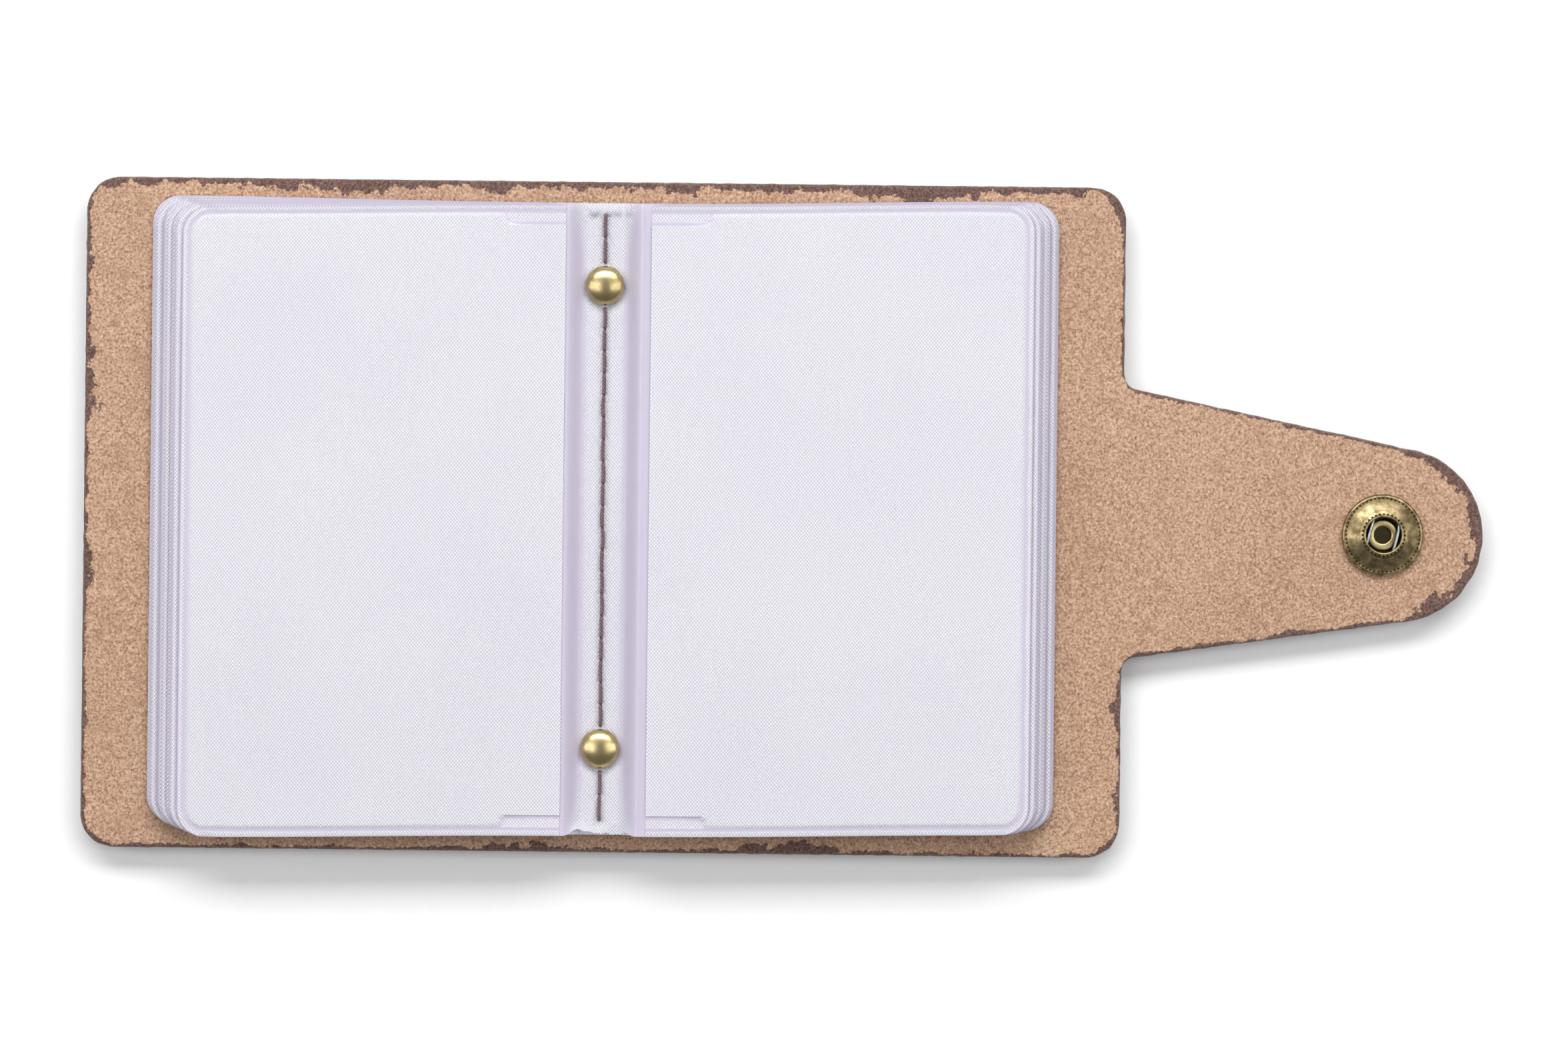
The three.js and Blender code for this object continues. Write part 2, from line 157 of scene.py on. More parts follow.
def tube_curve(name, radius, resolution):
    """A curve that is drawn as a closed round tube."""
    curve = bpy.data.curves.new(name, "CURVE")
    curve.dimensions = "3D"
    curve.bevel_depth = radius
    curve.bevel_resolution = resolution
    curve.use_fill_caps = True
    return curve


def tube_mesh(curve):
    """The tube as a bmesh. The curve is evaluated once and then taken away."""
    drawn = bpy.data.objects.new("drawn_tube", curve)
    bpy.context.scene.collection.objects.link(drawn)
    bpy.context.view_layer.update()
    bm = bmesh.new()
    bm.from_mesh(drawn.evaluated_get(bpy.context.evaluated_depsgraph_get()).to_mesh())
    bpy.data.objects.remove(drawn)
    return bm


def settle(piece, body, slot, *nodes):
    """The piece rides on one body and stands for these CAD nodes; its slot is not used."""
    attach(piece, body)
    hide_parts(*nodes)
    return piece


def ease(t):
    t = min(max(t, 0), 1)
    return t * t * (3 - 2 * t)


# %% [markdown]
# ## Materials
# Each material is a small node tree. One function adds a node with its settings and its links, and
# another turns an sRGB hex colour into the linear numbers that a shader adds up.

# %% Node helper and colours
def colour(hex_code):
    channels = [int(hex_code[i : i + 2], 16) / 255 for i in (1, 3, 5)]
    linear = [c / 12.92 if c <= 0.04045 else ((c + 0.055) / 1.055) ** 2.4 for c in channels]
    return (*linear, 1)


def add(tree, kind, inputs=None, **settings):
    node = tree.nodes.new("ShaderNode" + kind)
    for key, value in settings.items():
        setattr(node, key, value)
    for key, value in (inputs or {}).items():
        if isinstance(value, bpy.types.NodeSocket):
            tree.links.new(value, node.inputs[key])
        else:
            node.inputs[key].default_value = value
    return node


def new_material(name):
    material = bpy.data.materials.new(name)
    material.use_nodes = True
    material.node_tree.nodes.clear()
    return material, material.node_tree


def surface(tree, inputs):
    shader = add(tree, "BsdfPrincipled", inputs)
    add(tree, "OutputMaterial", {"Surface": shader.outputs[0]})
    return shader


def noise_at(tree, where, size, detail=2, roughness=0.5):
    """Noise whose lumps are about this many metres across."""
    return add(
        tree, "TexNoise",
        {"Vector": where, "Scale": 1 / size, "Detail": detail, "Roughness": roughness},
    ).outputs["Fac"]


def remap(tree, value, low, high, to_low=0.0, to_high=1.0):
    return add(
        tree, "MapRange",
        {"Value": value, "From Min": low, "From Max": high, "To Min": to_low, "To Max": to_high},
    ).outputs["Result"]


def mix(tree, factor, a, b):
    node = add(tree, "Mix", data_type="RGBA")
    for socket, value in zip((node.inputs[0], node.inputs[6], node.inputs[7]), (factor, a, b)):
        if isinstance(value, bpy.types.NodeSocket):
            tree.links.new(value, socket)
        else:
            socket.default_value = value
    return node.outputs[2]


def maths(tree, operation, *values):
    node = add(tree, "Math", operation=operation)
    for socket, value in zip(node.inputs, values):
        if isinstance(value, bpy.types.NodeSocket):
            tree.links.new(value, socket)
        else:
            socket.default_value = value
    return node.outputs[0]


# %% [markdown]
# ## Waxed cowhide
# Vegetable-tanned cowhide has two faces. The flesh side, which is inside the case, is a matt tan nap
# of short fibres with darker specks. The outside is the grain, waxed a dark brown, and its wax
# creeps round the cut edge onto the flesh side in an uneven band, widest round the strap's tip. Along
# the top edge the band is widened further, partly for more wax and partly as painted shade where the
# hide's edge curves away. The mesh carries three things for the material: `rest`, the flat place of
# each point, so that the nap doesn't slide where the hide folds; `rim`, the distance to the cut edge
# in millimetres; and `flesh`, 1 inside and 0 outside.

# %% Cowhide material
def cowhide():
    material, tree = new_material("waxed_cowhide")
    rest = add(tree, "Attribute", attribute_name="rest").outputs["Vector"]
    rim = add(tree, "Attribute", attribute_name="rim").outputs["Fac"]
    flesh = add(tree, "Attribute", attribute_name="flesh").outputs["Fac"]
    fibre = noise_at(tree, rest, 0.36 * MM, 5, 0.75)
    speck = noise_at(tree, rest, 0.55 * MM, 4, 0.7)
    cloud = noise_at(tree, rest, 26 * MM, 3, 0.5)
    patch = noise_at(tree, rest, 5 * MM, 4, 0.65)

    tan = mix(tree, remap(tree, cloud, 0.35, 0.65), colour("#c09c81"), colour("#b59177"))
    tan = mix(tree, remap(tree, fibre, 0.50, 0.66, 0, 0.8), tan, colour("#e2c8ae"))
    tan = mix(tree, remap(tree, fibre, 0.49, 0.37, 0, 0.9), tan, colour("#83604a"))
    tan = mix(tree, remap(tree, speck, 0.56, 0.66, 0, 0.8), tan, colour("#75523e"))
    tan = mix(tree, remap(tree, patch, 0.52, 0.68, 0, 0.3), tan, colour("#a07a5f"))

    wax = mix(tree, remap(tree, fibre, 0.42, 0.6), colour("#4a332c"), colour("#80635a"))
    broad = noise_at(tree, rest, 15 * MM, 3, 0.6)
    ragged = noise_at(tree, rest, 2.6 * MM, 3, 0.65)
    jagged = noise_at(tree, rest, 0.5 * MM, 2, 0.6)
    axes = add(tree, "SeparateXYZ", {"Vector": rest})
    at_tip = remap(tree, axes.outputs["X"], 0.094, 0.101, 0, 0.75)
    # Along the top edge the dark band is widened, partly for more wax and partly as painted shade where
    # the hide's edge curves away.
    top_wax_and_shade = remap(tree, axes.outputs["Y"], 0.044, 0.049, 0, 0.45)
    reach = maths(tree, "ADD", remap(tree, broad, 0.53, 0.70, 0.42, 1.7), at_tip)
    reach = maths(tree, "ADD", reach, top_wax_and_shade)
    reach = maths(tree, "MULTIPLY", reach, remap(tree, ragged, 0.35, 0.65, 0.4, 2.0))
    reach = maths(tree, "ADD", reach, remap(tree, jagged, 0.35, 0.65, -0.14, 0.14))
    edge = remap(tree, maths(tree, "SUBTRACT", reach, rim), -0.05, 0.05)
    inside = mix(tree, edge, tan, wax)

    scuff = noise_at(tree, rest, 9 * MM, 5, 0.6)
    grain = mix(tree, remap(tree, scuff, 0.38, 0.68), colour("#3f2820"), colour("#6a4636"))
    pores = add(tree, "TexVoronoi", {"Vector": rest, "Scale": 1 / (0.9 * MM)}, feature="DISTANCE_TO_EDGE")
    pore = pores.outputs["Distance"]
    grain = mix(tree, remap(tree, pore, 0.0, 0.12, 0.55, 0), grain, colour("#241510"))
    base = mix(tree, flesh, grain, inside)

    waxed = maths(tree, "MAXIMUM", edge, maths(tree, "SUBTRACT", 1.0, flesh))
    nap_height = maths(tree, "ADD", fibre, maths(tree, "MULTIPLY", patch, 0.6))
    height = mix(tree, flesh, remap(tree, pore, 0.0, 0.25, 0.2, 0.45), nap_height)
    bump = add(tree, "Bump", {"Height": height, "Strength": 0.75, "Distance": 0.22 * MM})
    surface(tree, {
        "Base Color": base,
        "Roughness": remap(tree, waxed, 0, 1, 0.95, 0.55),
        "Specular IOR Level": 0.3,
        "Sheen Weight": 0.12,
        "Sheen Roughness": 0.5,
        "Normal": bump.outputs["Normal"],
    })
    return material


COWHIDE = cowhide()

# %% [markdown]
# ## Embossed PVC film
# The sleeves are soft clear PVC, calendered between rollers that press a fine cloth-like weave into
# it. The weave scatters light, so a stack of sheets looks white with the lavender of the plastic,
# and a single sheet is see-through. Where a seam is welded the weave is pressed smooth, and the
# plastic's own colour shows. `smooth` on the mesh says where that is. It also marks where the film is
# painted in the darker lavender as shade, on the slopes down to the spine and in narrow bands at the
# cut edges, and the strip of base film before each pocket, which is only drawn darker. The colour
# also has broad painted sheen bands, a painted glint on each pip of the weave and painted shade
# between the pips. The real weave has a thread every 0.4 mm; it is drawn a little coarser, so that it
# still shows.

# %% PVC material
WEAVE_X, WEAVE_Y = 0.24 * MM, 0.29 * MM  # half the pitch along a row of pips, and from row to row


def pvc(name, tint, deep_tint_and_shade, alpha, strength=0.7):
    material, tree = new_material(name)
    rest = add(tree, "Attribute", attribute_name="rest").outputs["Vector"]
    smooth = add(tree, "Attribute", attribute_name="smooth").outputs["Fac"]
    axes = add(tree, "SeparateXYZ", {"Vector": rest})
    across = maths(tree, "MULTIPLY", axes.outputs["X"], math.pi / WEAVE_X)
    along = maths(tree, "MULTIPLY", axes.outputs["Y"], math.pi / WEAVE_Y)
    threads = maths(tree, "MULTIPLY", maths(tree, "SINE", across), maths(tree, "SINE", along))
    sheen_bands = noise_at(tree, rest, 30 * MM, 2, 0.5)
    plain = maths(tree, "SUBTRACT", 1.0, smooth)
    woven = maths(tree, "MULTIPLY", threads, plain)
    bump = add(tree, "Bump", {"Height": woven, "Strength": strength, "Distance": 0.08 * MM})
    # Broad painted sheen bands lighten the film; then the hollows between the weave's pips get painted
    # shade, and each pip a painted glint.
    milky_and_painted_light = mix(tree, remap(tree, sheen_bands, 0.3, 0.7, 0.1, 0.55), colour(tint), colour("#efeff6"))
    milky_and_painted_light = mix(tree, remap(tree, threads, -0.1, -0.9, 0, 0.55), milky_and_painted_light, colour(deep_tint_and_shade))
    glint = remap(tree, threads, 0.05, 0.9, 0, 1.0)
    milky_and_painted_light = mix(tree, maths(tree, "MULTIPLY", glint, plain), milky_and_painted_light, colour("#ffffff"))
    # Where smooth is set the colour turns to the darker lavender: the plastic's own colour at a weld,
    # painted shade on the slopes and at the cut edges.
    surface(tree, {
        "Base Color": mix(tree, smooth, milky_and_painted_light, colour(deep_tint_and_shade)),
        "Roughness": remap(tree, smooth, 0, 1, 0.27, 0.14),
        "IOR": 1.53,
        "Alpha": alpha,
        "Normal": bump.outputs["Normal"],
    })
    return material


FILM_PVC = pvc("embossed_pvc_film", "#e2e1ec", "#d6cde2", 0.64)

# %% [markdown]
# ## Antique brass plating
# The rivets and the snap are steel plated with brass, darkened chemically and then tumbled, which
# takes the dark off what stands proud. So the dark stays in hollows and in faint clouds. In the
# socket's hole, in the post's bore and on the pips, which stand for punched dimples, the colour is
# near-black: that dark finish, and painted shade as well. The snap is darker than the rivets, whose
# domes were buffed.

# %% Metal materials
def plated(name, bright, dark, cloud, roughness, contrast=(0.4, 0.65)):
    material, tree = new_material(name)
    where = add(tree, "TexCoord").outputs["Object"]
    clouds = noise_at(tree, where, cloud, 5, 0.65)
    grit = noise_at(tree, where, 0.15 * MM, 2, 0.5)
    patina_and_shade = add(tree, "Attribute", attribute_name="patina_and_shade").outputs["Fac"]
    base = mix(tree, remap(tree, clouds, *contrast), colour(dark), colour(bright))
    # Near-black on the marked hollows: the dark finish kept there, and painted shade in the deep holes.
    base = mix(tree, maths(tree, "MULTIPLY", patina_and_shade, 0.93), base, colour("#14120c"))
    bump = add(tree, "Bump", {"Height": grit, "Strength": 0.12, "Distance": 0.03 * MM})
    surface(tree, {
        "Base Color": base,
        "Metallic": 1.0,
        "Roughness": remap(tree, clouds, 0.3, 0.7, roughness + 0.1, roughness),
        "Normal": bump.outputs["Normal"],
    })
    return material


BUFFED_BRASS = plated("buffed_antique_brass", "#d9c89c", "#a99664", 2.0 * MM, 0.24, (0.3, 0.75))
DARK_BRASS = plated("tumbled_antique_brass", "#b5a178", "#6e6044", 1.3 * MM, 0.28)
SPRING_STEEL = plated("nickel_plated_spring_steel", "#c9ced2", "#9aa1a6", 1.0 * MM, 0.2)

# %% [markdown]
# ## Waxed thread
# The thread is three plies of polyester twisted together, waxed and dyed a brown with some mauve in
# it. Each ply is made as its own tube, so the material only adds the fine filaments along it.

# %% Thread material
def waxed_thread():
    material, tree = new_material("waxed_polyester_thread")
    where = add(tree, "TexCoord").outputs["Object"]
    fuzz = noise_at(tree, where, 0.12 * MM, 3, 0.6)
    base = mix(tree, remap(tree, fuzz, 0.35, 0.7), colour("#4a3338"), colour("#8a6f76"))
    bump = add(tree, "Bump", {"Height": fuzz, "Strength": 0.3, "Distance": 0.04 * MM})
    surface(tree, {
        "Base Color": base,
        "Roughness": 0.42,
        "Sheen Weight": 0.2,
        "Normal": bump.outputs["Normal"],
    })
    return material


THREAD = waxed_thread()

# %% [markdown]
# ## The hide
# The cover and the strap are cut from one piece of hide. It is modelled as four pieces that meet
# where the hide stays flat: half of the spine goes with each cover, and the strap is parted in the
# flat stretch that wraps over the shut case. Each starts as a grid, which is moved onto the outline,
# given its thickness, and then roughened as hand-cut hide is.

# %% Outline of the hide
CORNER_R = 5.2 * MM
CUT_ROUNDING = 0.35 * MM
snap_low, snap_high = box("snap_socket")
SNAP = Vector(((snap_low.x + snap_high.x) / 2, (snap_low.y + snap_high.y) / 2, FLESH_Z))
ROOT_HALF = box("strap_root_fold")[1].y  # half width of the strap at its root
TIP_R = 13.3 * MM
TIP = Vector((box("strap_tip")[1].x - TIP_R, SNAP.y))  # centre of the strap's round end
ROOT_FLARE = 1.8 * MM  # radius of the inside corner beside the strap


def strap_side(sign):
    """Slope of the strap's upper (1) or lower (-1) side, and where it meets the round end."""
    run = TIP.x - COVER_RIGHT
    rise = TIP.y - sign * ROOT_HALF
    angle = math.atan2(rise, run) + sign * math.asin(TIP_R / math.hypot(run, rise))
    return math.tan(angle), TIP.x - sign * TIP_R * math.sin(angle)


def strap_edge(x, sign):
    """Y of the strap's upper or lower edge at x."""
    slope, meets = strap_side(sign)
    if x > meets:
        return TIP.y + sign * math.sqrt(max(0, TIP_R**2 - (x - TIP.x) ** 2))
    straight = sign * ROOT_HALF + slope * (x - COVER_RIGHT)
    from_root = x - COVER_RIGHT
    flare = ROOT_FLARE - math.sqrt(max(0, ROOT_FLARE**2 - (ROOT_FLARE - from_root) ** 2))
    return straight + sign * (flare if from_root < ROOT_FLARE else 0)


def to_strap_edge(x, y):
    """Distance from a point of the strap to its nearest cut edge."""
    if x > TIP.x:
        return TIP_R - math.hypot(x - TIP.x, y - TIP.y)
    return min(strap_edge(x, 1) - y, y - strap_edge(x, -1))


def to_cover_edge(x, y):
    """Distance from a point of the cover to its nearest cut edge, with none where the strap leaves."""
    nearest = min(HALF_HEIGHT - abs(y), x - COVER_LEFT)
    beyond = max(0, ROOT_HALF + ROOT_FLARE - abs(y))
    nearest = min(nearest, math.hypot(COVER_RIGHT - x, beyond))
    dx = CORNER_R - min(x - COVER_LEFT, COVER_RIGHT - x)
    dy = CORNER_R - (HALF_HEIGHT - abs(y))
    if dx > 0 and dy > 0:
        nearest = min(nearest, CORNER_R - math.hypot(dx, dy))
    return nearest


def round_corner(x, y, corner_x, corner_y):
    """Moves a point of the square corner at the outline onto nested arcs about the corner's centre."""
    dx, dy = x - corner_x, y - corner_y
    reach, diagonal = max(abs(dx), abs(dy)), math.hypot(dx, dy)
    scale = reach / diagonal if diagonal else 1
    return corner_x + dx * scale, corner_y + dy * scale


# %% Make a piece of hide
def hide_piece(name, bm, to_edge, shape):
    """Gives a flat grid its outline, thickness, soft cut edges and the uneven face of real hide."""
    bmesh.ops.solidify(bm, geom=bm.faces[:], thickness=HIDE)
    top = max(v.co.z for v in bm.verts) - HIDE / 2
    rim = bm.verts.layers.float.new("rim")
    flesh = bm.verts.layers.float.new("flesh")
    rest = bm.verts.layers.float_vector.new("rest")
    for v in bm.verts:
        inside = v.co.z > top
        x, y = shape(v.co.x, v.co.y)
        distance = to_edge(x, y)
        rounding = CUT_ROUNDING * (1 - min(distance / CUT_ROUNDING, 1)) ** 2
        swell = 0.16 * MM * noise.noise(Vector((x, y, 0)) / (14 * MM))
        swell += 0.05 * MM * noise.noise(Vector((x, y, 1)) / (2.5 * MM))
        near_cut = max(0, 1 - distance / (2 * MM))
        wander = 0.10 * MM * near_cut * noise.noise(Vector((x, y, 2)) / (1.6 * MM))
        z = FLESH_Z - rounding + swell if inside else GRAIN_Z + rounding
        v[rim] = distance / MM
        v[flesh] = 1.0 if inside else 0.0
        v[rest] = (x, y, z)
        v.co = (x + wander * (1 if x > MIDDLE else -1), y + wander * (1 if y > 0 else -1), z)
    piece = finish(bm, name, COWHIDE)
    return piece


# %% Cut the covers
FINE = [0, 0.12 * MM, 0.3 * MM, 0.6 * MM, 1.0 * MM, 1.6 * MM]  # grid lines beside a cut edge
NAP_STEP = 1.15 * MM
cover_ys = [-HALF_HEIGHT + f for f in FINE]
cover_ys += spaced(-HALF_HEIGHT + 2.4 * MM, HALF_HEIGHT - 2.4 * MM, NAP_STEP)
cover_ys += [HALF_HEIGHT - f for f in reversed(FINE)]


def cover_shape(x, y):
    side = COVER_LEFT + CORNER_R if x < MIDDLE else COVER_RIGHT - CORNER_R
    end = (HALF_HEIGHT - CORNER_R) * (1 if y > 0 else -1)
    if abs(x - MIDDLE) > abs(side - MIDDLE) and abs(y) > abs(end):
        return round_corner(x, y, side, end)
    return x, y


FOLD_REACH = 3.2 * MM  # how far from its fold line the hide is curved when it is folded


def cover(name, edge_x):
    inward = 1 if edge_x < MIDDLE else -1
    xs = [edge_x + inward * f for f in FINE] + spaced(edge_x + inward * 2.4 * MM, MIDDLE, NAP_STEP)
    piece = hide_piece(name, grid(xs, cover_ys), to_cover_edge, cover_shape)
    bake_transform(piece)
    return piece


front_hide = cover("front_cover_hide", COVER_LEFT)
back_hide = cover("back_cover_hide", COVER_RIGHT)
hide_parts("front_panel", "front_fold")
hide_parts("back_panel", "back_fold", "spine_panel")

# %% Cut the strap
STRAP_LINES = 44
strap_part = (hinge_x["strap_fold"] + hinge_x["strap_end_fold"]) / 2


def strap_shape(x, v):
    """Across the strap, v runs from -0.5 to 0.5 and the lines crowd towards the two cut edges."""
    low, high = strap_edge(x, -1), strap_edge(x, 1)
    return x, low + (high - low) * (0.5 + v)


crowded = [0.5 - 0.5 * math.cos(math.pi * i / STRAP_LINES) for i in range(STRAP_LINES + 1)]
across = [0.65 * c + 0.35 * i / STRAP_LINES - 0.5 for i, c in enumerate(crowded)]
root_xs = spaced(COVER_RIGHT, COVER_RIGHT + ROOT_FLARE, 0.25 * MM)[:-1]
root_xs += spaced(COVER_RIGHT + ROOT_FLARE, strap_part, 0.9 * MM)
tip_turns = [math.radians(90 * i / 36) for i in range(37)]
end_xs = spaced(strap_part, TIP.x, 0.9 * MM)[:-1] + [TIP.x + TIP_R * math.sin(a) for a in tip_turns]
for name, xs, bodies, fold in (
    ("strap_root_hide", root_xs, ("back_cover", "strap"), "strap_fold"),
    ("strap_end_hide", end_xs, ("strap", "strap_end"), "strap_end_fold"),
):
    piece = hide_piece(name, grid(xs, across), to_strap_edge, strap_shape)
    crease = hinge_x[fold]
    reach = min(FOLD_REACH, crease - COVER_RIGHT)
    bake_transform(piece)
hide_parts("strap_root_fold", "strap_wrap")
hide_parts("strap_tip_fold", "strap_tip")

# %% [markdown]
# ## The sleeves
# A sleeve is two films. The lower one is half of a sheet that runs through the stitching to the
# other side. The upper one is the pocket: it is welded to the lower film along three sides, and its
# free edge faces the spine, where a card goes in. From the outer edge inwards the pocket film has a
# woven rim, the smooth sunken weld, and then the woven face, which stands a little off the film
# below. Beside the free edge each weld is widened to a tab, which keeps the pocket from tearing.

# %% Profile of a sleeve
FILM = 0.15 * MM
RIM = 0.75 * MM
WELD = 0.55 * MM
TAB = 3.1 * MM  # depth of the weld's tab, from the page's edge
TAB_LENGTH = 9.5 * MM
SLEEVE_CORNER_R = 4.3 * MM
RIM_LINES = [0, 0.14, 0.22, 0.45, 0.66, 0.74, 0.84, 1.02, 1.2, 1.3, 1.42, 1.6]  # mm from the edge
TAB_LINES = [1.9, 2.25, 2.5, 2.62, 3.0, 3.14, 3.3]
EDGE_LINES = RIM_LINES + TAB_LINES
SMOOTH_AND_SHADE = 0.75  # how far the film beside the pockets is drawn smooth and in the darker lavender: on the slopes down to the spine this is painted shade where the film turns away from the light, and on the strip of base film before each pocket it is only drawn darker
page_low, page_high = box("right_page_10")
PAGE_HALF = page_high.y


def to_sleeve_edge(u, v, length):
    """Distance from a point of a sleeve to its three welded sides. u runs outwards from the spine."""
    du, dv = length - u, PAGE_HALF - abs(v)
    nearest = min(du, dv)
    if du < SLEEVE_CORNER_R and dv < SLEEVE_CORNER_R:
        corner = math.hypot(SLEEVE_CORNER_R - du, SLEEVE_CORNER_R - dv)
        nearest = min(nearest, SLEEVE_CORNER_R - corner)
    return max(0, nearest)


def weld_depth(distance, from_opening):
    """How welded and how smooth the film is at a point this far from the edge and the opening."""
    inner = RIM + WELD
    if from_opening < TAB_LENGTH:
        inner += (TAB - inner) * ease((TAB_LENGTH - from_opening) / (1.2 * MM))
    # A narrow band at the cut edge is drawn smooth in the darker lavender: painted shade between the
    # stepped edges of the stacked sheets.
    cut = ease((0.2 * MM - distance) / (0.08 * MM))
    starts = ease((distance - RIM + 0.06 * MM) / (0.1 * MM))
    ends = ease((inner - distance + 0.04 * MM) / (0.12 * MM))
    line = ease((RIM + WELD - distance + 0.04 * MM) / (0.12 * MM))
    on_tab = 1 if from_opening < TAB_LENGTH else 0
    border = on_tab * ease((distance - inner + WELD) / (0.1 * MM)) * ends
    return min(starts, ends), max(cut, min(starts, line), border)


# %% One film of a sleeve
POCKET_WIDTH = 58.5 * MM
PAGE_INNER = page_low.x - MIDDLE


def sleeve_opening(side, number):
    """Distance from the stitch line to the pocket's free edge, as the CAD page has it."""
    low, high = box(f"{side}_page_{number:02d}")
    outer = max(abs(low.x - MIDDLE), abs(high.x - MIDDLE))
    return max(outer - POCKET_WIDTH, PAGE_INNER)


def add_film(bm, film, start, length, lift, opening, puff):
    """Adds one film, lying from u = start to the outer edge, as a thin closed solid."""
    tab_end = start + TAB_LENGTH
    us = [start, start + 0.3 * MM] + spaced(start + 1.2 * MM, tab_end - 1.2 * MM, 3.4 * MM)
    us += [tab_end - 0.8 * MM, tab_end - 0.4 * MM] + spaced(tab_end, length - 3.6 * MM, 3.4 * MM)
    us += [length - e * MM for e in reversed(EDGE_LINES)]
    vs = [-PAGE_HALF + e * MM for e in EDGE_LINES]
    vs += spaced(-PAGE_HALF + 4 * MM, PAGE_HALF - 4 * MM, 4.4 * MM)
    vs += [PAGE_HALF - e * MM for e in reversed(EDGE_LINES)]
    part = grid(us, vs)
    bmesh.ops.solidify(part, geom=part.faces[:], thickness=FILM)
    upper = max(v.co.z for v in part.verts) - FILM / 2
    smooth = part.verts.layers.float.new("smooth")
    corner = SLEEVE_CORNER_R
    for v in part.verts:
        u, w = v.co.x, v.co.y
        if u > length - corner and abs(w) > PAGE_HALF - corner:
            u, w = round_corner(u, w, length - corner, (PAGE_HALF - corner) * (1 if w > 0 else -1))
        distance = to_sleeve_edge(u, w, length)
        z = lift + (FILM if v.co.z > upper else 0)
        # The strip of base film before the pocket's free edge is drawn smooth and in the darker lavender.
        v[smooth] = 0.0 if u > opening else SMOOTH_AND_SHADE
        if film == "pocket":
            weld, v[smooth] = weld_depth(distance, u - opening)
            face = ease((distance - RIM - WELD) / (0.35 * MM))
            z += 0.14 * MM * face * (1 - weld) - 0.05 * MM * weld
            z += puff * face * math.sin(u / length * 5 + w / PAGE_HALF * 2)
        v.co = (u, w, z)
    add_part(bm, part)


# %% [markdown]
# The stack isn't square. The pages slid over each other as the book was opened, so at their outer
# edge the lower left ones sit higher than the upper ones, and all the right ones sit a little high.
# `slide` gives each page its own shift.

# %% Make the sleeves
LEFT_SLIDE = (0.5 * MM, -0.7 * MM)  # of the lowest page and of the top one, at their outer edge
RIGHT_SLIDE = (0.9 * MM, 0.7 * MM)
LENGTH_SLIPS = (0.05, -0.3, 0.2, 0.0, -0.15, 0.1)  # no two sheets are cut or sewn quite alike
rng = random.Random(7)


def sheet_slip(level):
    """The upper sheets were laid a little low when the book was sewn."""
    return -0.55 * MM * (level / (PAGES - 1)) ** 2


def sleeve(side, number):
    node = f"{side}_page_{number:02d}"
    low, high = box(node)
    sign = -1 if side == "left" else 1
    root = high.x if sign < 0 else low.x
    length = high.x - low.x + LENGTH_SLIPS[number % len(LENGTH_SLIPS)] * MM
    opening = sleeve_opening(side, number) - abs(root - MIDDLE)
    rise = 1 - (number - 1) / (PAGES - 1)  # 1 for the top page and 0 for the bottom one
    lowest, topmost = LEFT_SLIDE if sign < 0 else RIGHT_SLIDE
    slide = lowest + (topmost - lowest) * rise + rng.uniform(-0.15, 0.15) * MM
    puff = rng.uniform(0.02, 0.06) * MM
    bm = bmesh.new()
    for film, start, lift in (("base", 0, 0), ("pocket", opening, FILM)):
        add_film(bm, film, start, length, lift, opening, puff)
    rest = bm.verts.layers.float_vector.new("rest")
    for v in bm.verts:
        u, w = v.co.x, v.co.y
        v[rest] = (root + sign * u, w, v.co.z)
        v.co = (root + sign * u, w + slide * ease(u / length) + sheet_slip(PAGES - number), low.z + v.co.z)
    piece = finish(bm, f"{side}_sleeve_{number:02d}", FILM_PVC, sharp=50)
    body = f"{side}_top_page" if number == 1 else f"{side}_pages"
    return settle(piece, body, "clear_film", node)


for side in ("left", "right"):
    for number in range(1, PAGES + 1):
        sleeve(side, number)

# %% [markdown]
# ## Where the sheets are sewn
# Between the sleeves the sheets dip to the spine, and the thread and rivets press them into a firm
# pad. Each sheet is one film there, so the pad and the slopes beside it are made of as many films as
# there are pages. The top sheet puckers: every stitch pulls it into a groove, and each rivet cap
# presses a dish, and its two ends are frilled.

# %% Sewn pad and slopes
pad_low, pad_high = box("sewn_middle")
PAD_HALF = (pad_high.x - pad_low.x) / 2
cap_low, cap_high = box("upper_rivet_cap")
RIVET_R = (cap_high.x - cap_low.x) / 2
RIVET_Y = (cap_low.y + cap_high.y) / 2
sheet_ys = spaced(-PAGE_HALF, PAGE_HALF, 0.55 * MM)
runs = [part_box(f"needle_thread_{run}") for run in ("upper", "middle", "lower")]
STITCH = 3.4 * MM


def needle_holes():
    found = []
    for low, high in runs:
        count = round((high[1] - low[1]) / STITCH)
        found.append([low[1] + (high[1] - low[1]) * i / count for i in range(count + 1)])
    return found


HOLES = needle_holes()
all_holes = [y for run in HOLES for y in run]


def pucker(x, y):
    """How far the thread and the rivets pull the top sheet down at a point."""
    ends = [((high[1] - y + MM) / (1.2 * MM), (y - low[1] + MM) / (1.2 * MM)) for low, high in runs]
    sewn = max(ease(before) * ease(after) for before, after in ends)
    hole = min(abs(y - h) for h in all_holes)
    groove = (0.28 + 0.3 * math.exp(-((hole / (0.55 * MM)) ** 2))) * MM
    depth = sewn * groove * math.exp(-(((x - MIDDLE) / (0.75 * MM)) ** 2))
    dish = math.hypot(x - MIDDLE, abs(y) - RIVET_Y) / RIVET_R
    return depth + 0.25 * MM * math.exp(-(max(0, dish - 0.85) / 0.3) ** 2)


page_heights = [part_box(f"right_page_{PAGES - level:02d}")[0][2] for level in range(PAGES)]


